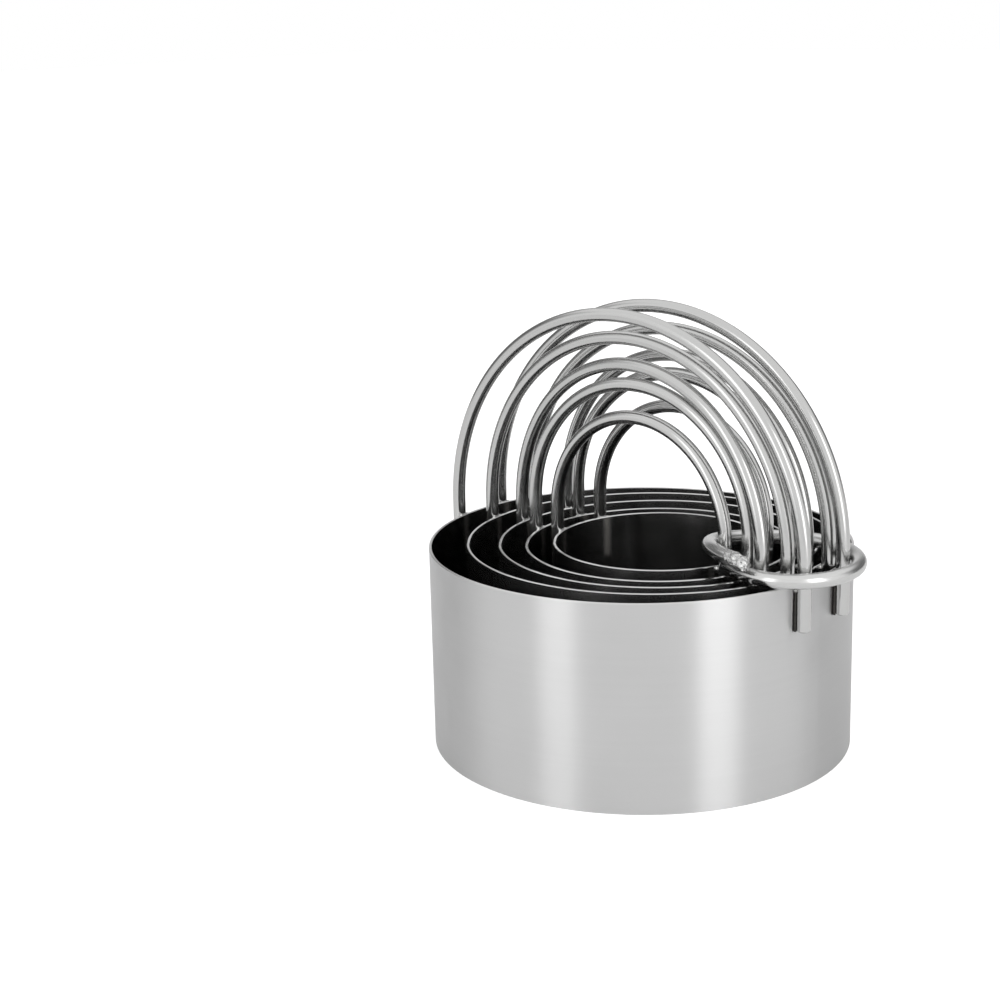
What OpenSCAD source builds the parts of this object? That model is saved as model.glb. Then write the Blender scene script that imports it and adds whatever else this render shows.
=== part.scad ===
// Nested set of five round biscuit cutters. Each cutter is a ring of strip steel with two wire arches
// welded to its outside as a handle. One split keeper ring holds the right-hand legs of all the handles.
// The origin is the axis of the largest cutter, at the level that the cutters stand on.
// X runs along the handles, from the free side to the side with the keeper ring. Cutter 1 is the largest.

/* [Cutters] */
// Outside diameter of the largest cutter
outer_d = 95; // [85:0.5:120]
// Difference in diameter from each cutter to the next smaller one
size_step = 11.8; // [11.2:0.1:14]
// Height of the cutters
band_h = 46; // [30:0.5:60]
// Thickness of the strip steel
band_t = 0.6; // [0.4:0.05:0.8]
// Bevel that takes the burr off the strip's edges
band_bevel = 0.12; // [0.05:0.01:0.18]

/* [Handles] */
// Diameter of the handle wire
wire_d = 3; // [2.4:0.1:3.2]
// Distance between the two wires of a handle, centre to centre
wire_spacing = 14.8; // [10:0.2:20]
// Length of each wire leg below the rim, where it is welded on
weld_len = 10; // [5:0.5:20]
// Depth that the weld sinks the wire into the strip
weld_bite = 0.05; // [0.02:0.01:0.08]
// Bevel round the cut ends of the wire
wire_bevel = 0.3; // [0.1:0.05:0.6]
// Straight height of the largest handle above its rim
rise_1 = 3.5; // [2:0.1:15]
// Space from the top of handle 2 up to the wire of handle 1
arch_gap_2 = 2.2; // [0.5:0.05:5]
// Space from the top of handle 3 up to the wire of handle 2
arch_gap_3 = 2.7; // [0.5:0.05:5]
// Space from the top of handle 4 up to the wire of handle 3
arch_gap_4 = 1; // [0.5:0.05:5]
// Space from the top of handle 5 up to the wire of handle 4
arch_gap_5 = 4.7; // [0.5:0.05:5.5]

/* [Nesting] */
// Least gap between a cutter with its handle and the cutter around it
nest_gap = 0.4; // [0.35:0.05:1]
// Direction in which cutters 2 to 5 have slid inside the next larger cutter
slide_directions = [51, -8, -45, 121]; // [-180:1:180]
// Part of their free play that cutters 2 to 5 have slid
slide_parts = [1, 1, 0.7, 0.75]; // [0:0.05:1]
// Angle that the handles of cutters 2 to 5 have turned against handle 1
handle_turns = [-1.9, -5.9, -2, -2.6]; // [-8:0.1:8]

/* [Keeper ring] */
// Diameter of the ring's wire
ring_wire_d = 3.3; // [2.5:0.1:4]
// Least gap between the ring and the wire legs that it holds
ring_clear = 0.2; // [0.2:0.05:3]
// Height of the ring's lowest strand above the rims
ring_seat_gap = 0.35; // [0.3:0.05:1]
// Width of the ring, which the legs press out of round, as a part of its length
ring_width_ratio = 0.92; // [0.85:0.01:1]
// Direction of the ring's longest width
ring_heading = -30; // [-90:1:90]
// Distance of the ring's middle from the middle of the legs, along X and along Y
ring_offset = [-0.45, 0.15]; // [-1:0.05:1]
// Angle from the front leg of the smallest handle on to the ring's lower end
ring_start_turn = 17.5; // [15:0.5:40]
// Angle over which the ring's ends overlap
ring_lap = 47; // [20:1:60]
// How far the lower end is bent in, under the upper end
ring_bend_in = 3.4; // [2.4:0.1:3.6]
// Angle over which the lower end is bent in
ring_bend_in_turn = 81; // [70:1:90]
// How far the upper end is bent out
ring_bend_out = 1; // [0:0.1:1.5]
// Angle over which the upper end is bent out
ring_bend_out_turn = 60; // [40:1:80]
// Height by which the upper end has climbed over the lower end
ring_climb = 3.6; // [3:0.05:4.5]
// Angle from the lower end to where the ring starts to climb
ring_climb_start = 253; // [200:1:280]
// Angle over which the ring climbs
ring_climb_turn = 125; // [90:1:140]

/* [Hidden] */
$fn = 96;

cutters = 5;
front = -1;
back = 1;
strip_colour = "silver";
wire_colour = "lightgray";
ring_colour = "darkgray";

arch_gaps = [arch_gap_2, arch_gap_3, arch_gap_4, arch_gap_5];

// Outside radius of cutter k
function radius(k) = outer_d / 2 - (k - 1) * size_step / 2;

// Distance of a wire leg's centre from the axis of its cutter
function leg_reach(k) = radius(k) + wire_d / 2 - weld_bite;

// Half of the distance between the two legs of one wire, which is also the radius of its arch
function span(k) = sqrt(leg_reach(k) ^ 2 - (wire_spacing / 2) ^ 2);

// Straight height of a handle above its rim: each arch stays below the next larger one by its gap
function rise(k) = k == 1
    ? rise_1
    : rise(k - 1) + span(k - 1) - wire_d - arch_gaps[k - 2] - span(k);

// Angle of handle k against the X axis
function turn(k) = k == 1 ? 0 : handle_turns[k - 2];

// Direction in which cutter k has slid
function slide_direction(k) = slide_directions[k - 2];

// Directions of the four wire legs from the axis of cutter k
function leg_directions(k) =
    let (half_angle = asin(wire_spacing / 2 / leg_reach(k)))
    [for (side = [0, 180], sign = [-1, 1]) turn(k) + side + sign * half_angle];

// Slide that brings the nearest wire leg, or else the strip, up to the cutter around cutter k
function full_slide(k) =
    let (
        bore = radius(k - 1) - band_t,
        leg_play = bore - leg_reach(k) - wire_d / 2 - nest_gap,
        strip_play = bore - radius(k) - nest_gap,
        facing = max([for (direction = leg_directions(k)) cos(direction - slide_direction(k))])
    )
    min(strip_play, leg_play / facing);

// Axis of cutter k, which has slid inside the next larger cutter
function centre(k) = k == 1
    ? [0, 0]
    : centre(k - 1)
        + slide_parts[k - 2] * full_slide(k) * [cos(slide_direction(k)), sin(slide_direction(k))];

// Centres of the two legs of cutter k that the keeper ring holds
function held_legs(k) = [
    for (side = [front, back])
        let (across = side * wire_spacing / 2)
        centre(k) + [
            span(k) * cos(turn(k)) - across * sin(turn(k)),
            span(k) * sin(turn(k)) + across * cos(turn(k))
        ]
];

// The ring lies round the held legs, on the rims, and its middle is near that of the two legs farthest apart
all_held = [for (k = [1:cutters], leg = held_legs(k)) leg];
widest = max([for (one = all_held, other = all_held) norm(one - other)]);
middles = [for (one = all_held, other = all_held) if (norm(one - other) == widest) (one + other) / 2];
ring_centre = middles[0] + ring_offset;
last_leg = held_legs(cutters)[0] - ring_centre;
ring_start = atan2(last_leg[1], last_leg[0]) + ring_start_turn;
ring_z = band_h + ring_seat_gap + ring_wire_d / 2;
ring_turn = 360 + ring_lap;
ring_rings = 90;
ring_sides = 16;
half_step_angle = 0.5;

// Place against the oval of length 1, along its length and across it
function oval_place(v) = [
    v[0] * cos(ring_heading) + v[1] * sin(ring_heading),
    (v[1] * cos(ring_heading) - v[0] * sin(ring_heading)) / ring_width_ratio
];

// Smooth step from 0 to 1
function ease(x) = let (t = min(1, max(0, x))) t ^ 2 * (3 - 2 * t);

// Point on the middle of the wire of a ring of this half length, at an angle from its lower end
function point_on_ring(half_length, angle) =
    let (
        direction = [cos(ring_start + angle), sin(ring_start + angle)],
        bent_in = ring_bend_in * ease(1 - angle / ring_bend_in_turn),
        bent_out = ring_bend_out * ease(1 - (ring_turn - angle) / ring_bend_out_turn),
        r = half_length / norm(oval_place(direction)) - bent_in + bent_out
    )
    [
        ring_centre[0] + r * direction[0],
        ring_centre[1] + r * direction[1],
        ring_z + ring_climb * ease((angle - ring_climb_start) / ring_climb_turn)
    ];

// Least gap between the held legs and a ring of this half length
function ring_gap(half_length) =
    min([
        for (angle = [0:ring_turn])
            let (point = point_on_ring(half_length, angle))
            for (leg = all_held) norm([point[0], point[1]] - leg)
    ]) - wire_d / 2 - ring_wire_d / 2;

// The ring is let out from a close fit, in two steps, until it is clear of the legs
close_fit = widest / 2 + wire_d / 2 + ring_wire_d / 2;
let_out = close_fit + ring_clear - ring_gap(close_fit);
ring_half_length = let_out + ring_clear - ring_gap(let_out);

function ring_point(angle) = point_on_ring(ring_half_length, angle);

function unit(v) = v / norm(v);

// Circle of points round the ring's wire, square to the wire
function ring_section(i) =
    let (
        angle = ring_turn * i / ring_rings,
        along = unit(ring_point(angle + half_step_angle) - ring_point(angle - half_step_angle)),
        outward = [cos(ring_start + angle), sin(ring_start + angle), 0],
        side = unit(outward - (outward * along) * along),
        up = cross(along, side)
    )
    [
        for (j = [0:ring_sides - 1])
            let (turned = 360 * j / ring_sides)
            ring_point(angle) + ring_wire_d / 2 * (cos(turned) * side + sin(turned) * up)
    ];

// Least gap between the overlapping strands of the ring
lap_step_angle = 3;
least_lap_gap = min([
    for (angle = [0:lap_step_angle:ring_lap]) norm(ring_point(angle + 360) - ring_point(angle)) - ring_wire_d
]);
echo(least_lap_gap = least_lap_gap);

module place(k) {
    translate([centre(k)[0], centre(k)[1], 0]) rotate([0, 0, turn(k)]) children();
}

module band(k) {
    outside = radius(k);
    inside = outside - band_t;
    color(strip_colour) place(k) rotate_extrude() polygon([
        [inside + band_bevel, 0],
        [outside - band_bevel, 0],
        [outside, band_bevel],
        [outside, band_h - band_bevel],
        [outside - band_bevel, band_h],
        [inside + band_bevel, band_h],
        [inside, band_h - band_bevel],
        [inside, band_bevel]
    ]);
}

// Straight leg of a wire, which hangs from the end of its arch
module wire_leg(length) {
    rotate_extrude() polygon([
        [0, -length],
        [wire_d / 2 - wire_bevel, -length],
        [wire_d / 2, wire_bevel - length],
        [wire_d / 2, 0],
        [0, 0]
    ]);
}

module handle_wire(k, side) {
    color(wire_colour) place(k) translate([0, side * wire_spacing / 2, band_h + rise(k)]) {
        for (end = [-1, 1]) {
            translate([end * span(k), 0, 0]) wire_leg(rise(k) + weld_len);
        }
        rotate([90, 0, 0]) rotate_extrude(angle = 180) translate([span(k), 0]) circle(d = wire_d);
    }
}

module keeper_ring() {
    last = ring_rings * ring_sides;
    points = [for (i = [0:ring_rings]) each ring_section(i)];
    skin = [
        for (i = [0:ring_rings - 1], j = [0:ring_sides - 1])
            let (
                here = i * ring_sides,
                next = here + ring_sides,
                turned = (j + 1) % ring_sides
            )
            each [
                [here + j, next + turned, here + turned],
                [here + j, next + j, next + turned]
            ]
    ];
    ends = [
        for (j = [1:ring_sides - 2])
            each [[0, j, j + 1], [last, last + j + 1, last + j]]
    ];
    color(ring_colour) polyhedron(points = points, faces = concat(skin, ends));
}

module cutter_band_1() { band(1); }
module cutter_band_2() { band(2); }
module cutter_band_3() { band(3); }
module cutter_band_4() { band(4); }
module cutter_band_5() { band(5); }
module handle_front_1() { handle_wire(1, front); }
module handle_front_2() { handle_wire(2, front); }
module handle_front_3() { handle_wire(3, front); }
module handle_front_4() { handle_wire(4, front); }
module handle_front_5() { handle_wire(5, front); }
module handle_back_1() { handle_wire(1, back); }
module handle_back_2() { handle_wire(2, back); }
module handle_back_3() { handle_wire(3, back); }
module handle_back_4() { handle_wire(4, back); }
module handle_back_5() { handle_wire(5, back); }

cutter_band_1();
handle_front_1();
handle_back_1();
cutter_band_2();
handle_front_2();
handle_back_2();
cutter_band_3();
handle_front_3();
handle_back_3();
cutter_band_4();
handle_front_4();
handle_back_4();
cutter_band_5();
handle_front_5();
handle_back_5();
keeper_ring();
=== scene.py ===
# The finished looks of a nested set of five round biscuit cutters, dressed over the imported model.
# It follows the set as it is put together: strips, handles, welds, keeper ring, then the table and lamps.

import math

import bpy
from mathutils import Matrix, Vector


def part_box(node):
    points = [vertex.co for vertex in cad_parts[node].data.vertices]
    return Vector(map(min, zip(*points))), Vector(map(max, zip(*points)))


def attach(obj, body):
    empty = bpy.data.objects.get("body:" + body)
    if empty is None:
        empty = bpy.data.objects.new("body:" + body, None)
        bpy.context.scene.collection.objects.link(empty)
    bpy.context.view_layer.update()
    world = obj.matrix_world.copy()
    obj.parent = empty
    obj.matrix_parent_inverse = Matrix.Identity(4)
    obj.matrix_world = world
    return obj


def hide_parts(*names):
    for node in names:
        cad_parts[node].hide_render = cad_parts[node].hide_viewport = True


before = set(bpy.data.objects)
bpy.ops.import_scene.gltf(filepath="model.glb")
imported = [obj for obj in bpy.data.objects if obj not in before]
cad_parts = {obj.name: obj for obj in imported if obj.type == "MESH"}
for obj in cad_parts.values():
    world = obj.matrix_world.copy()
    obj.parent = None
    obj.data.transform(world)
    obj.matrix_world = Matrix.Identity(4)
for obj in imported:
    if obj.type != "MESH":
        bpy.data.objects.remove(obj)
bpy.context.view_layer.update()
bpy.ops.object.select_all(action="DESELECT")


# Camera: where the picture of the set was taken from, a little above the rims and to the right of the front.
# The handles stand at an angle to the picture plane, so the whole view is turned by that angle.
handle_azimuth = math.radians(37.69)
camera_distance = 0.421
camera_height = 0.166
camera_pan = 0.0743
camera_tilt = 0.2563
camera_roll = math.radians(-1.465)

camera_data = bpy.data.cameras.new("camera")
camera_data.sensor_width = 36
camera_data.lens = 69.82
camera_data.clip_start = 0.01
camera_data.clip_end = 50
camera = bpy.data.objects.new("camera", camera_data)
bpy.context.scene.collection.objects.link(camera)
camera.matrix_world = (
    Matrix.Rotation(handle_azimuth, 4, "Z")
    @ Matrix.Translation((0, -camera_distance, camera_height))
    @ Matrix.Rotation(camera_pan, 4, "Z")
    @ Matrix.Rotation(math.pi / 2 - camera_tilt, 4, "X")
    @ Matrix.Rotation(camera_roll, 4, "Z")
)
bpy.context.scene.camera = camera


# Strips: each cutter is a band of stainless strip steel, rolled round, butt-welded and polished to a sheen.
# The polishing leaves fine lines that run round the outside; the inside is smoother and has a painted shade,
# and the sheared edges have a painted highlight. The wires' spot welds show through on the inside as dull
# marks.
cutters = range(1, 6)
handle_turns = (0, -1.9, -5.9, -2, -2.6)
wire_spacing = 0.0148
weld_length = 0.010
outside_dark, outside_light = 0.64, 0.68
# The inside colour is darker than the outside: painted shade for the dark bores.
inside_shade_colour = (0.45, 0.45, 0.445)
# Brightness of the painted highlight on the sheared edges.
edge_highlight_level = 0.78
weld_mark_colour = (0.40, 0.37, 0.33)
weld_mark_core, weld_mark_edge = 0.0003, 0.0014
weld_mark_fade = 0.001
weld_mark_roughness = 0.12
seam_colour = (0.42, 0.42, 0.43)
seam_core, seam_edge = 0.0001, 0.0005
seam_relief = 2.0
sheared_edge = 0.0003
largest_roughness = 0.35
nested_roughness = 0.13
inner_roughness = 0.12
roughness_change = 0.02
relief_depth = 0.00001


def axis_and_radius(k):
    low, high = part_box(f"cutter_band_{k}")
    middle = (low + high) / 2
    return Vector((middle.x, middle.y, 0)), (high.x - low.x) / 2


def turn_of(k):
    return math.radians(handle_turns[k - 1])


def grey(level):
    return level, level, level


def link(tree, source, target):
    tree.links.new(source, target)


def node(tree, kind, place, **values):
    made = tree.nodes.new(kind)
    made.location = place
    for name, value in values.items():
        if hasattr(made, name):
            setattr(made, name, value)
        else:
            made.inputs[name.replace("_", " ")].default_value = value
    return made


def vector_node(tree, kind, place, vector, **values):
    made = node(tree, kind, place, **values)
    link(tree, vector, made.inputs["Vector"])
    return made


def maths(tree, place, operation, first, second=None, third=None):
    made = node(tree, "ShaderNodeMath", place, operation=operation)
    for socket, value in zip(made.inputs, (first, second, third)):
        if isinstance(value, bpy.types.NodeSocket):
            link(tree, value, socket)
        elif value is not None:
            socket.default_value = value
    return made.outputs[0]


def spread(tree, place, value, low, high, start=0.0, end=1.0):
    made = node(tree, "ShaderNodeMapRange", place, From_Min=start, From_Max=end, To_Min=low, To_Max=high)
    link(tree, value, made.inputs["Value"])
    return made.outputs["Result"]


def mix_colour(tree, place, factor, dark, light):
    made = node(tree, "ShaderNodeMix", place, data_type="RGBA")
    for socket, value in ((made.inputs[6], dark), (made.inputs[7], light)):
        if isinstance(value, bpy.types.NodeSocket):
            link(tree, value, socket)
        else:
            socket.default_value = (*value, 1)
    link(tree, factor, made.inputs[0])
    return made.outputs[2]


def add_bump(tree, shader, place, height, strength, depth):
    made = node(tree, "ShaderNodeBump", place, Strength=strength, Distance=depth)
    link(tree, height, made.inputs["Height"])
    link(tree, made.outputs["Normal"], shader.inputs["Normal"])


def new_material(name, metallic=0.0):
    made = bpy.data.materials.new(name)
    made.use_nodes = True
    shader = made.node_tree.nodes["Principled BSDF"]
    shader.inputs["Metallic"].default_value = metallic
    return made, made.node_tree, shader


def effect_group(name, inputs, outputs):
    group = bpy.data.node_groups.new(name, "ShaderNodeTree")
    for socket, kind in inputs:
        group.interface.new_socket(socket, in_out="INPUT", socket_type=kind)
    for socket, kind in outputs:
        group.interface.new_socket(socket, in_out="OUTPUT", socket_type=kind)
    return group, node(group, "NodeGroupInput", (-900, 0)), node(group, "NodeGroupOutput", (900, 0))


# Fine lines of rolled and drawn metal. The vector that comes in is already drawn out along the lines.
fine_lines, entry, leave = effect_group(
    "fine_lines",
    [("Vector", "NodeSocketVector"), ("Coarse", "NodeSocketFloat")],
    [("Lines", "NodeSocketFloat"), ("Bands", "NodeSocketFloat")],
)
drawn_out = entry.outputs["Vector"]
hair = vector_node(
    fine_lines, "ShaderNodeTexNoise", (-600, 200), drawn_out, Scale=1.0, Detail=3.0, Roughness=0.7
)
wide = vector_node(fine_lines, "ShaderNodeVectorMath", (-750, -200), drawn_out, operation="SCALE")
link(fine_lines, entry.outputs["Coarse"], wide.inputs["Scale"])
streak = vector_node(
    fine_lines, "ShaderNodeTexNoise", (-600, -200), wide.outputs[0], Scale=1.0, Detail=2.0, Roughness=0.5
)
link(fine_lines, hair.outputs["Fac"], leave.inputs["Lines"])
link(fine_lines, streak.outputs["Fac"], leave.inputs["Bands"])

# Marks of use: cloudy finger smears and a few thin scratches that run any way.
scratch_wander = 0.006
scratch_width = 0.012

use_marks, entry, leave = effect_group(
    "use_marks",
    [("Vector", "NodeSocketVector")],
    [("Smears", "NodeSocketFloat"), ("Scratches", "NodeSocketFloat")],
)
spot = entry.outputs["Vector"]
cloud = vector_node(
    use_marks, "ShaderNodeTexNoise", (-600, 200), spot, Scale=60.0, Detail=4.0, Roughness=0.6
)
smears = spread(use_marks, (-300, 200), cloud.outputs["Fac"], 0, 1, 0.45, 0.75)
link(use_marks, smears, leave.inputs["Smears"])
bent = vector_node(use_marks, "ShaderNodeTexNoise", (-800, -250), spot, Scale=90.0, Detail=1.0)
shift = node(use_marks, "ShaderNodeVectorMath", (-600, -250), operation="MULTIPLY_ADD")
link(use_marks, bent.outputs["Color"], shift.inputs[0])
shift.inputs[1].default_value = (scratch_wander, scratch_wander, scratch_wander)
link(use_marks, spot, shift.inputs[2])
cells = vector_node(
    use_marks, "ShaderNodeTexVoronoi", (-400, -250), shift.outputs[0],
    feature="DISTANCE_TO_EDGE", Scale=300.0,
)
patch = vector_node(use_marks, "ShaderNodeTexNoise", (-400, -500), spot, Scale=140.0, Detail=2.0)
thin = spread(use_marks, (-200, -250), cells.outputs["Distance"], 1, 0, 0, scratch_width)
some = spread(use_marks, (-200, -500), patch.outputs["Fac"], 0, 1, 0.5, 0.62)
link(use_marks, maths(use_marks, (0, -350), "MULTIPLY", thin, some), leave.inputs["Scratches"])


def strip_steel(k):
    axis, radius = axis_and_radius(k)
    band_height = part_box(f"cutter_band_{k}")[1].z
    made, tree, steel = new_material(f"strip_steel_{k}", metallic=1.0)
    steel.inputs["Anisotropic"].default_value = 1.0
    steel.inputs["Anisotropic Rotation"].default_value = 0.25
    place = node(tree, "ShaderNodeTexCoord", (-2200, 0))
    offset = vector_node(
        tree, "ShaderNodeVectorMath", (-2000, 0), place.outputs["Object"], operation="SUBTRACT"
    )
    offset.inputs[1].default_value = axis
    along = vector_node(
        tree, "ShaderNodeMapping", (-1800, 0), offset.outputs[0],
        vector_type="TEXTURE", Rotation=(0, 0, turn_of(k)),
    )
    split = vector_node(tree, "ShaderNodeSeparateXYZ", (-1600, 0), along.outputs["Vector"])

    # The lines are drawn out round the band, so they are close together only up and down.
    around = vector_node(tree, "ShaderNodeMapping", (-1600, 300), offset.outputs[0], Scale=(60, 60, 9000))
    lines = vector_node(
        tree, "ShaderNodeGroup", (-1350, 300), around.outputs["Vector"], node_tree=fine_lines, Coarse=0.12
    )
    marks = vector_node(tree, "ShaderNodeGroup", (-1350, 100), place.outputs["Object"], node_tree=use_marks)

    # Outside or inside: the surface faces away from the axis, or towards it.
    facing = vector_node(
        tree, "ShaderNodeVectorMath", (-1800, -300), offset.outputs[0], operation="DOT_PRODUCT"
    )
    link(tree, place.outputs["Normal"], facing.inputs[1])
    inside = maths(tree, (-1600, -300), "LESS_THAN", facing.outputs["Value"], -radius / 2)

    # Dull marks where the four wires are welded on, as high as the welds are long.
    side = maths(tree, (-1400, -100), "ABSOLUTE", split.outputs["Y"])
    from_wire = maths(tree, (-1325, -100), "SUBTRACT", side, wire_spacing / 2)
    off_wire = maths(tree, (-1250, -100), "ABSOLUTE", from_wire)
    weld_width = spread(tree, (-1100, -100), off_wire, 1, 0, weld_mark_core, weld_mark_edge)
    weld_end = band_height - weld_length
    weld_height = spread(
        tree, (-1100, -300), split.outputs["Z"], 0, 1, weld_end, weld_end + weld_mark_fade
    )
    weld_mark = maths(tree, (-900, -200), "MULTIPLY", weld_width, weld_height)

    # The butt weld of the strip, ground flush, on the free side between the two wires.
    seam_width = spread(tree, (-1100, -500), side, 1, 0, seam_core, seam_edge)
    free_side = maths(tree, (-1100, -650), "LESS_THAN", split.outputs["X"], 0)
    seam = maths(tree, (-900, -500), "MULTIPLY", seam_width, free_side)

    # A painted highlight along the sheared edges, where they catch the light.
    from_middle = maths(tree, (-1325, -800), "SUBTRACT", split.outputs["Z"], band_height / 2)
    up_or_down = maths(tree, (-1250, -800), "ABSOLUTE", from_middle)
    edge_highlight = spread(tree, (-1100, -800), up_or_down, 0, 1, band_height / 2 - sheared_edge, band_height / 2)

    hair_tone = maths(tree, (-1200, 200), "MULTIPLY", lines.outputs["Lines"], 0.4)
    tone = maths(tree, (-1100, 300), "MULTIPLY_ADD", lines.outputs["Bands"], 0.6, hair_tone)
    polished = mix_colour(tree, (-800, 400), tone, grey(outside_dark), grey(outside_light))
    # The inside faces get the darker colour: painted shade, as the nested bores are dark.
    inside_shaded = mix_colour(tree, (-650, 400), inside, polished, inside_shade_colour)
    weld_tint = maths(tree, (-650, 200), "MULTIPLY", weld_mark, 0.5)
    welded = mix_colour(tree, (-500, 400), weld_tint, inside_shaded, weld_mark_colour)
    seam_tint = maths(tree, (-500, 200), "MULTIPLY", seam, 0.5)
    joined = mix_colour(tree, (-350, 400), seam_tint, welded, seam_colour)
    # Painted highlight on the sheared edges.
    edge_lit = mix_colour(tree, (-200, 400), edge_highlight, joined, grey(edge_highlight_level))
    link(tree, edge_lit, steel.inputs["Base Color"])

    satin = largest_roughness if k == 1 else nested_roughness
    outer_rough = spread(tree, (-800, 0), tone, satin - roughness_change, satin + roughness_change)
    inner_rough = maths(tree, (-650, 0), "MULTIPLY_ADD", inside, inner_roughness - satin, outer_rough)
    welded_rough = maths(tree, (-500, 0), "MULTIPLY_ADD", weld_mark, weld_mark_roughness, inner_rough)
    smeared = maths(tree, (-350, 0), "MULTIPLY_ADD", marks.outputs["Smears"], 0.04, welded_rough)
    link(tree, smeared, steel.inputs["Roughness"])

    scored = maths(tree, (-650, -300), "SUBTRACT", lines.outputs["Lines"], marks.outputs["Scratches"])
    raised = maths(tree, (-500, -300), "MULTIPLY_ADD", seam, seam_relief, scored)
    add_bump(tree, steel, (-300, -300), raised, 0.05, relief_depth)
    turned = node(tree, "ShaderNodeTangent", (-300, -500), direction_type="RADIAL", axis="Z")
    link(tree, turned.outputs[0], steel.inputs["Tangent"])
    return made


for k in cutters:
    strip = strip_steel(k)
    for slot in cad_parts[f"cutter_band_{k}"].material_slots:
        slot.material = strip


# Handles: two arches of polished stainless wire stand on each cutter, welded to the outside of its strip.
# Drawing the wire leaves faint lines along its length, which follow the straight legs and the bend.
wire_radius = 0.0015
weld_bite = 0.00005
wire_dark, wire_light = (0.54, 0.54, 0.535), (0.62, 0.62, 0.615)
wire_smooth, wire_rough = 0.13, 0.20
line_fineness = 6000


def leg_reach(k):
    return axis_and_radius(k)[1] + wire_radius - weld_bite


def arch_radius(k):
    return math.sqrt(leg_reach(k) ** 2 - (wire_spacing / 2) ** 2)


def drawn_finish(tree, fine, place, dark, light, smooth, rough):
    """Colour, roughness and scoring of drawn wire, from a vector that is fine across its lines."""
    lines = vector_node(tree, "ShaderNodeGroup", (-1150, 0), fine, node_tree=fine_lines, Coarse=0.25)
    marks = vector_node(tree, "ShaderNodeGroup", (-1150, -200), place, node_tree=use_marks)
    colour = mix_colour(tree, (-800, 300), lines.outputs["Bands"], dark, light)
    lined = spread(tree, (-800, -100), lines.outputs["Lines"], smooth, rough)
    smeared = maths(tree, (-600, -100), "MULTIPLY_ADD", marks.outputs["Smears"], 0.06, lined)
    scored = maths(tree, (-800, -300), "SUBTRACT", lines.outputs["Lines"], marks.outputs["Scratches"])
    return colour, smeared, scored


def wire_steel(k):
    made, tree, steel = new_material(f"handle_wire_{k}", metallic=1.0)
    arch_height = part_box(f"handle_front_{k}")[1].z - wire_radius - arch_radius(k)
    place = node(tree, "ShaderNodeTexCoord", (-2400, 0))
    local = vector_node(
        tree, "ShaderNodeMapping", (-2200, 0), place.outputs["Object"], vector_type="TEXTURE",
        Location=(*axis_and_radius(k)[0].xy, arch_height), Rotation=(0, 0, turn_of(k)),
    )
    split = vector_node(tree, "ShaderNodeSeparateXYZ", (-2050, 0), local.outputs["Vector"])

    # Distance from the middle of the arch, which on the legs is the distance from its upright line.
    above = maths(tree, (-1900, 0), "MAXIMUM", split.outputs["Z"], 0)
    flat = node(tree, "ShaderNodeCombineXYZ", (-1750, 0))
    link(tree, split.outputs["X"], flat.inputs["X"])
    link(tree, above, flat.inputs["Z"])
    out = vector_node(tree, "ShaderNodeVectorMath", (-1600, 0), flat.outputs[0], operation="LENGTH")
    section = node(tree, "ShaderNodeCombineXYZ", (-1450, 0))
    link(tree, out.outputs["Value"], section.inputs["X"])
    link(tree, split.outputs["Y"], section.inputs["Y"])
    fine = vector_node(
        tree, "ShaderNodeVectorMath", (-1300, 0), section.outputs[0], operation="SCALE", Scale=line_fineness
    )
    colour, roughness, scored = drawn_finish(
        tree, fine.outputs[0], place.outputs["Object"], wire_dark, wire_light, wire_smooth, wire_rough
    )
    link(tree, colour, steel.inputs["Base Color"])
    link(tree, roughness, steel.inputs["Roughness"])
    add_bump(tree, steel, (-250, -200), scored, 0.12, relief_depth)
    return made


for k in cutters:
    wire = wire_steel(k)
    for side in ("front", "back"):
        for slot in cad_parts[f"handle_{side}_{k}"].material_slots:
            slot.material = wire


# Welds: a bead of melted steel lies in the groove on each side of each wire leg, from its end up to the rim.
# It is left as welded, lumpy and dark from the heat, and its upper end is a brighter drop at the rim.
rim_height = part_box("cutter_band_1")[1].z
bead_radius = 0.0003
bead_sides = 12
bead_steps = 18
bead_lumps = 0.16
lump_turn = 2.4
drop_swells = {3: 1.7, 2: 1.15, 1: 0.5}
drop_below, drop_above = 0.0016, 0.0006
groove_fit = 0.8
burnt_dark, burnt_light = (0.02, 0.02, 0.02), (0.09, 0.085, 0.08)
drop_colour = (0.62, 0.62, 0.61)


def weld_steel():
    made, tree, steel = new_material("weld_steel", metallic=1.0)
    place = node(tree, "ShaderNodeTexCoord", (-1200, 0))
    spot = place.outputs["Object"]
    scale = vector_node(
        tree, "ShaderNodeTexNoise", (-950, 200), spot, Scale=1500.0, Detail=5.0, Roughness=0.65
    )
    pits = vector_node(tree, "ShaderNodeTexVoronoi", (-950, -200), spot, Scale=2600.0)
    split = vector_node(tree, "ShaderNodeSeparateXYZ", (-950, -450), spot)
    height = split.outputs["Z"]
    fresh = spread(tree, (-750, -450), height, 0, 1, rim_height - drop_below, rim_height - drop_above)
    burnt = mix_colour(tree, (-700, 200), scale.outputs["Fac"], burnt_dark, burnt_light)
    colour = mix_colour(tree, (-450, 200), fresh, burnt, drop_colour)
    dull = spread(tree, (-700, 0), scale.outputs["Fac"], 0.3, 0.5)
    link(tree, colour, steel.inputs["Base Color"])
    link(tree, maths(tree, (-450, 0), "MULTIPLY_ADD", fresh, -0.22, dull), steel.inputs["Roughness"])
    add_bump(tree, steel, (-300, -200), pits.outputs["Distance"], 0.4, 0.00005)
    return made


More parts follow.
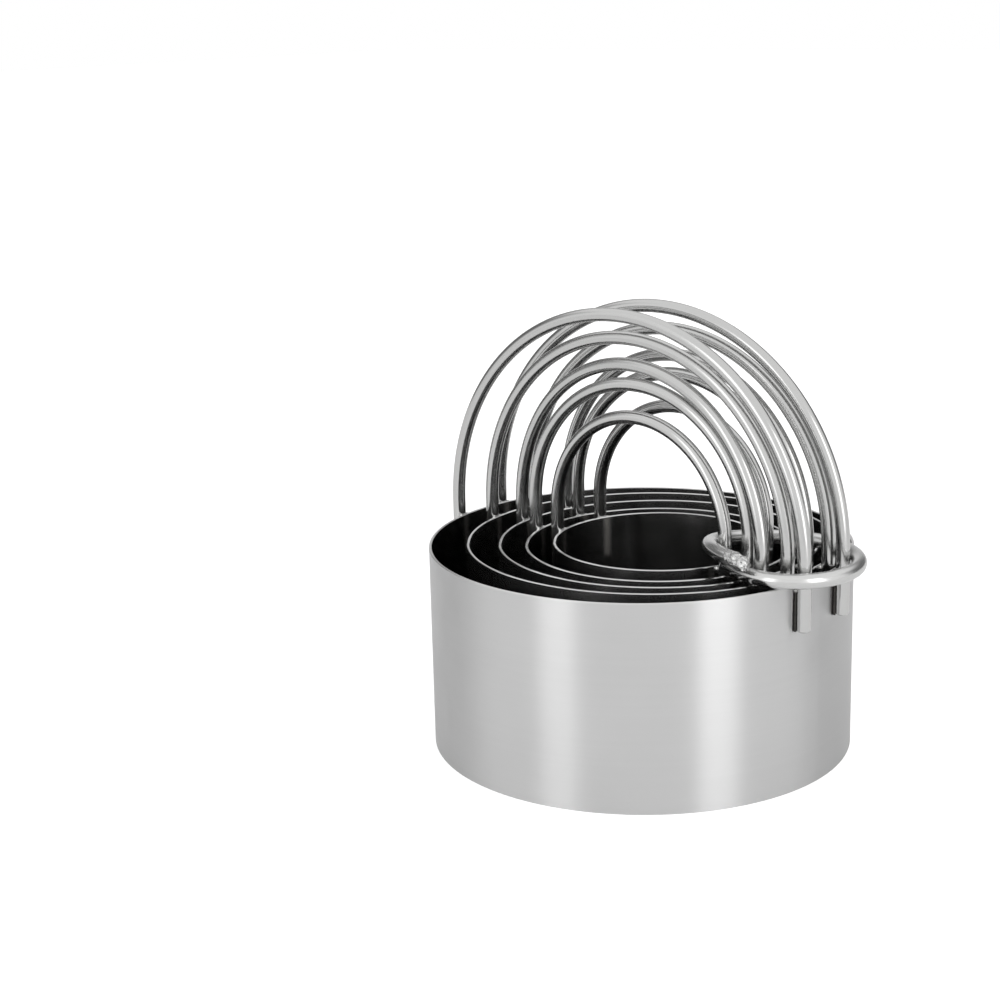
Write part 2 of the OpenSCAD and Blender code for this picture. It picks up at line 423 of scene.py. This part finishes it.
bpy.ops.mesh.primitive_circle_add(
    vertices=bead_sides, radius=bead_radius, fill_type="NGON", location=(0, 0, rim_height - weld_length)
)
bead = bpy.context.object
bead.name = "weld_bead"
bpy.ops.object.mode_set(mode="EDIT")
for step in range(bead_steps):
    bpy.ops.mesh.extrude_region_move(TRANSFORM_OT_translate={"value": (0, 0, weld_length / bead_steps)})
    lump = 1 + bead_lumps * math.sin(lump_turn * step) - bead_lumps * math.sin(lump_turn * (step - 1))
    swell = drop_swells.get(bead_steps - step, lump)
    bpy.ops.transform.resize(value=(swell, swell, 1))
bpy.ops.mesh.select_all(action="SELECT")
bpy.ops.mesh.normals_make_consistent(inside=False)
bpy.ops.object.mode_set(mode="OBJECT")
bpy.ops.object.transform_apply(location=True, rotation=True, scale=True)
bpy.ops.object.shade_smooth_by_angle(angle=math.radians(60))
bead.data.materials.append(weld_steel())
bead.select_set(False)


def groove_place(k):
    """Place of a bead that touches both strip and leg, from the leg's middle: inwards and sideways."""
    strip_radius, reach = axis_and_radius(k)[1], leg_reach(k)
    to_leg, to_axis = wire_radius + bead_radius * groove_fit, strip_radius + bead_radius * groove_fit
    inwards = (to_leg**2 + reach**2 - to_axis**2) / (2 * reach)
    return inwards, math.sqrt(to_leg**2 - inwards**2)


for k in cutters:
    axis = axis_and_radius(k)[0]
    inwards, sideways = groove_place(k)
    beads = []
    for end in (-1, 1):
        for side in (-1, 1):
            leg = Vector((end * arch_radius(k), side * wire_spacing / 2, 0))
            out = leg.normalized()
            across = Vector((-out.y, out.x, 0))
            for hand in (-1, 1):
                copy = bead.copy()
                copy.data = bead.data.copy()
                bpy.context.scene.collection.objects.link(copy)
                groove = leg - out * inwards + across * sideways * hand
                turned = Matrix.Rotation(turn_of(k), 4, "Z") @ Matrix.Translation(groove)
                spun = Matrix.Rotation(k + 2 * end + side + hand, 4, "Z")
                copy.data.transform(Matrix.Translation(axis) @ turned @ spun)
                beads.append(copy)
    for copy in beads:
        copy.select_set(True)
    bpy.context.view_layer.objects.active = beads[0]
    bpy.ops.object.join()
    welds = bpy.context.object
    welds.name = f"weld_beads_{k}"
    welds.select_set(False)
    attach(welds, f"cutter_{k}")
bpy.data.objects.remove(bead)


# Keeper ring: a length of spring wire, cropped with pliers and wound once and a bit round the right-hand
# legs. It lies on the rims, its lower end is bent in under the upper one, and the cropped upper end is
# squashed and torn.
ring_radius = 0.00163
ring_middle = Vector((0.037906, 0.000753))
ring_half_length = 0.016852
ring_width_ratio = 0.92
ring_heading = math.radians(-30)
ring_start = 231.56
ring_turn = 407
ring_low = 0.048
ring_climb, climb_start, climb_turn = 0.0036, 253, 125
ring_bend_in, bend_in_turn = 0.0034, 81
ring_bend_out, bend_out_turn = 0.001, 60
ring_sides = 32
ring_steps = 220
cut_taper = 0.9
cut_bevel = 0.00017
torn_length = 0.0055
# The torn end's stretches: share of its length, growth in width and height, steps, and depth that it sinks.
torn_shape = (
    (0.45, 0.92, 1.12, 12, 0.0002),
    (0.40, 0.88, 0.86, 12, 0.0005),
    (0.15, 0.66, 0.58, 6, 0.0002),
)
lumps_grow = 0.6
lumps_size = 0.0006
lumps_height = 0.0007
faceted_share = 0.75
tear_starts, tear_ends = 0.65, 0.3
ragged_length = 0.004
ring_dark, ring_light = (0.60, 0.60, 0.595), (0.67, 0.67, 0.665)
ring_smooth, ring_rough = 0.18, 0.26
crumb_colour, grit_colour = (0.85, 0.85, 0.84), (0.45, 0.45, 0.45)


def ease(x):
    part = min(1, max(0, x))
    return part * part * (3 - 2 * part)


def ring_point(angle):
    """Point on the middle of the ring's wire, at an angle in degrees from its lower end."""
    heading = math.radians(ring_start + angle) - ring_heading
    oval = math.hypot(math.cos(heading), math.sin(heading) / ring_width_ratio)
    bend_in = ring_bend_in * ease(1 - angle / bend_in_turn)
    bend_out = ring_bend_out * ease(1 - (ring_turn - angle) / bend_out_turn)
    reach = ring_half_length / oval - bend_in + bend_out
    towards = math.radians(ring_start + angle)
    across = ring_middle + reach * Vector((math.cos(towards), math.sin(towards)))
    return Vector((*across, ring_low + ring_climb * ease((angle - climb_start) / climb_turn)))


ring_path = [ring_point(angle) for angle in range(ring_turn + 1)]
ring_length = sum((b - a).length for a, b in zip(ring_path, ring_path[1:]))
route_data = bpy.data.curves.new("ring_route", "CURVE")
route_data.dimensions = "3D"
route_data.twist_mode = "Z_UP"
spline = route_data.splines.new("POLY")
spline.points.add(len(ring_path) - 1)
for point, spot in zip(spline.points, ring_path):
    point.co = (*spot, 1)
route = bpy.data.objects.new("ring_route", route_data)
bpy.context.scene.collection.objects.link(route)

bpy.ops.mesh.primitive_circle_add(
    vertices=ring_sides, radius=ring_radius * cut_taper, fill_type="NGON", rotation=(0, math.pi / 2, 0)
)
ring = bpy.context.object
ring.name = "keeper_ring_wire"
bpy.ops.object.transform_apply(location=True, rotation=True, scale=True)
bpy.ops.object.mode_set(mode="EDIT")


def draw_wire(length, wider=1.0, taller=1.0, steps=1, sink=0.0):
    for step in range(steps):
        move = (length / steps, 0, -sink / steps)
        bpy.ops.mesh.extrude_region_move(TRANSFORM_OT_translate={"value": move})
        bpy.ops.transform.resize(value=(1, wider ** (1 / steps), taller ** (1 / steps)))


draw_wire(cut_bevel, 1 / cut_taper, 1 / cut_taper)
draw_wire(ring_length - cut_bevel - torn_length, steps=ring_steps)
for share, wider, taller, steps, sink in torn_shape:
    draw_wire(torn_length * share, wider, taller, steps, sink)
bpy.ops.mesh.select_all(action="SELECT")
bpy.ops.mesh.normals_make_consistent(inside=False)
bpy.ops.object.mode_set(mode="OBJECT")
straight = ring.data.attributes.new("straight", "FLOAT_VECTOR", "POINT")
straight_x = [vertex.co.x for vertex in ring.data.vertices]
for vertex, kept in zip(ring.data.vertices, straight.data):
    kept.vector = vertex.co

torn = ring.vertex_groups.new(name="torn_end")
for vertex in ring.data.vertices:
    share = ease((vertex.co.x - ring_length + torn_length) / (torn_length * lumps_grow))
    torn.add([vertex.index], share, "REPLACE")
lumps = bpy.data.textures.new("torn_lumps", "CLOUDS")
lumps.noise_scale = lumps_size
tearing = ring.modifiers.new("tearing", "DISPLACE")
tearing.texture = lumps
tearing.vertex_group = "torn_end"
tearing.strength = lumps_height
winding = ring.modifiers.new("winding", "CURVE")
winding.object = route
winding.deform_axis = "POS_X"
for modifier in ("tearing", "winding"):
    bpy.ops.object.modifier_apply(modifier=modifier)
bpy.data.objects.remove(route)
bpy.ops.object.shade_smooth_by_angle(angle=math.radians(50))
for face in ring.data.polygons:
    if all(straight_x[corner] > ring_length - torn_length * faceted_share for corner in face.vertices):
        face.use_smooth = False
ring.select_set(False)


def ring_steel():
    made, tree, steel = new_material("ring_wire", metallic=1.0)
    place = node(tree, "ShaderNodeTexCoord", (-1600, -300))
    drawn = node(tree, "ShaderNodeAttribute", (-1600, 0), attribute_name="straight")
    unwound = drawn.outputs["Vector"]
    stretched = vector_node(
        tree, "ShaderNodeMapping", (-1400, 0), unwound, Scale=(40, line_fineness, line_fineness)
    )
    colour, roughness, scored = drawn_finish(
        tree, stretched.outputs["Vector"], place.outputs["Object"],
        ring_dark, ring_light, ring_smooth, ring_rough,
    )

    # The torn end begins at a ragged line and is made of bright crumbs of metal with grit between them.
    split = vector_node(tree, "ShaderNodeSeparateXYZ", (-1400, 500), unwound)
    ragged = vector_node(tree, "ShaderNodeTexNoise", (-1600, 700), unwound, Scale=900.0, Detail=2.0)
    to_end = maths(
        tree, (-1300, 650), "MULTIPLY_ADD", ragged.outputs["Fac"], ragged_length, split.outputs["X"]
    )
    torn_from, torn_to = ring_length - torn_length * tear_starts, ring_length - torn_length * tear_ends
    rough_end = spread(tree, (-1200, 500), to_end, 0, 1, torn_from, torn_to)
    crumbs = vector_node(tree, "ShaderNodeTexVoronoi", (-1150, -450), unwound, Scale=1100.0)
    grit = vector_node(
        tree, "ShaderNodeTexNoise", (-1150, -700), unwound, Scale=2500.0, Detail=4.0, Roughness=0.7
    )
    broken = mix_colour(tree, (-800, 100), crumbs.outputs["Distance"], crumb_colour, grit_colour)
    link(tree, mix_colour(tree, (-550, 300), rough_end, colour, broken), steel.inputs["Base Color"])
    end_rough = maths(tree, (-400, -100), "MULTIPLY_ADD", rough_end, 0.04, roughness)
    link(tree, end_rough, steel.inputs["Roughness"])
    crumbled = maths(
        tree, (-800, -500), "MULTIPLY_ADD", grit.outputs["Fac"], 0.8, crumbs.outputs["Distance"]
    )
    end_relief = maths(tree, (-600, -500), "MULTIPLY", crumbled, rough_end)
    relief = maths(tree, (-400, -400), "MULTIPLY_ADD", scored, 0.03, end_relief)
    add_bump(tree, steel, (-250, -400), relief, 0.8, 0.0002)
    return made


ring.data.materials.append(ring_steel())
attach(ring, "keeper_ring")
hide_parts("keeper_ring")


# Table: a plain white top that runs out of sight and keeps the soft shadow of the set. Only for the camera,
# some glow lifts it to plain white.
table_size = 8
table_brightness = 0.9
table_glow = 0.45

bpy.ops.mesh.primitive_plane_add(size=table_size, location=(0, 0, 0))
table = bpy.context.object
table.name = "table"
white, tree, paper = new_material("table_white")
paper.inputs["Base Color"].default_value = (*grey(table_brightness), 1)
paper.inputs["Roughness"].default_value = 0.9
paper.inputs["Specular IOR Level"].default_value = 0.0
glow = node(tree, "ShaderNodeEmission", (0, -300), Strength=table_glow)
lift = node(tree, "ShaderNodeAddShader", (250, -100))
pick = node(tree, "ShaderNodeMixShader", (450, 100))
rays = node(tree, "ShaderNodeLightPath", (250, 400))
link(tree, rays.outputs["Is Camera Ray"], pick.inputs[0])
link(tree, paper.outputs[0], lift.inputs[0])
link(tree, glow.outputs[0], lift.inputs[1])
link(tree, paper.outputs[0], pick.inputs[1])
link(tree, lift.outputs[0], pick.inputs[2])
link(tree, pick.outputs[0], tree.nodes["Material Output"].inputs["Surface"])
table.data.materials.append(white)
table.select_set(False)


# Mat: a dark disc inside the smallest cutter, a painted shade for the nested bores, so that no light comes
# up through the nested bands. The steel alone reflects it: the camera looks through it, and it casts no
# shadow on the table.
mat_gap = 0.0008
mat_height = 0.0002
bore_shade_brightness = 0.01

axis, radius = axis_and_radius(5)
bpy.ops.mesh.primitive_circle_add(
    vertices=96, radius=radius - mat_gap, fill_type="NGON", location=(axis.x, axis.y, mat_height)
)
mat = bpy.context.object
mat.name = "mat"
# Near-black painted shade, seen only in the steel's reflections.
bore_shade, tree, shade_surface = new_material("bore_shade_sheet")
shade_surface.inputs["Base Color"].default_value = (*grey(bore_shade_brightness), 1)
shade_surface.inputs["Roughness"].default_value = 0.9
mat.data.materials.append(bore_shade)
mat.visible_camera = False
mat.visible_diffuse = False
mat.visible_shadow = False
mat.select_set(False)


# Background: a white tent that is open at its two rear corners, which gives the polished wires their dark
# stripes. Its roof is closed, and the camera sees plain white all round.
rear_wall, open_corner, side_wall = 0.75, 0.18, 1.0
rear_wall_end, corner_start, corner_end, side_wall_start = 0.015, 0.06, 0.33, 0.53
roof_start, roof_end = 0.38, 0.62

world = bpy.data.worlds.new("tent")
world.use_nodes = True
bpy.context.scene.world = world
tree = world.node_tree
tent = tree.nodes["Background"]
tent.inputs["Color"].default_value = (1, 1, 1, 1)
towards_camera = (math.sin(handle_azimuth), -math.cos(handle_azimuth), 0)
place = node(tree, "ShaderNodeTexCoord", (-800, 0))
facing = vector_node(
    tree, "ShaderNodeVectorMath", (-600, 0), place.outputs["Generated"], operation="DOT_PRODUCT"
)
facing.inputs[1].default_value = towards_camera
cloth = node(tree, "ShaderNodeValToRGB", (-250, -100))
link(tree, spread(tree, (-430, 0), facing.outputs["Value"], 0, 1, -1, 1), cloth.inputs["Fac"])
stops = cloth.color_ramp.elements
stops[0].position, stops[0].color = rear_wall_end, (*grey(rear_wall), 1)
stops[1].position, stops[1].color = side_wall_start, (*grey(side_wall), 1)
for where in (corner_start, corner_end):
    stops.new(where).color = (*grey(open_corner), 1)
split = vector_node(tree, "ShaderNodeSeparateXYZ", (-600, -250), place.outputs["Generated"])
roof = spread(tree, (-400, -300), split.outputs["Z"], 0, 1, roof_start, roof_end)
rays = node(tree, "ShaderNodeLightPath", (-600, 300))
plain_white = maths(tree, (-200, 200), "MAXIMUM", roof, rays.outputs["Is Camera Ray"])
link(tree, maths(tree, (50, 0), "MAXIMUM", cloth.outputs["Color"], plain_white), tent.inputs["Strength"])


# Lamps: two tall soft boxes in front, one to each side of the camera, make the two broad streaks on the
# strip. Their cloth is brightest in the middle.
box_distance = 0.42
box_height = 0.42
box_half = 0.5
core_sideways, core_upright = 0.22, 0.40


def soft_box(name, azimuth, width, strength):
    turn = math.radians(azimuth) + handle_azimuth
    middle = (math.sin(turn) * box_distance, -math.cos(turn) * box_distance, box_height / 2)
    bpy.ops.mesh.primitive_plane_add(size=1, location=middle, rotation=(math.pi / 2, 0, turn))
    box = bpy.context.object
    box.name = name
    box.scale = (width, box_height, 1)
    box.visible_camera = False
    box.select_set(False)
    made, tree, spare = new_material(name)
    tree.nodes.remove(spare)
    cloth = node(tree, "ShaderNodeEmission", (0, 0))
    place = node(tree, "ShaderNodeTexCoord", (-900, 0))
    split = vector_node(tree, "ShaderNodeSeparateXYZ", (-700, 0), place.outputs["Object"])
    sideways = maths(tree, (-550, 100), "ABSOLUTE", split.outputs["X"])
    across = spread(tree, (-400, 100), sideways, 1, 0, core_sideways, box_half)
    up_or_down = maths(tree, (-550, -100), "ABSOLUTE", split.outputs["Y"])
    upright = spread(tree, (-400, -100), up_or_down, 1, 0, core_upright, box_half)
    bright = maths(tree, (-300, 0), "MULTIPLY", across, upright)
    link(tree, spread(tree, (-150, 0), bright, 1.0, strength), cloth.inputs["Strength"])
    link(tree, cloth.outputs[0], tree.nodes["Material Output"].inputs["Surface"])
    box.data.materials.append(made)


soft_box("soft_box_left", azimuth=-42, width=0.19, strength=2.2)
soft_box("soft_box_right", azimuth=39, width=0.21, strength=2.7)

bpy.context.view_layer.update()
bpy.context.scene.view_settings.view_transform = "Standard"
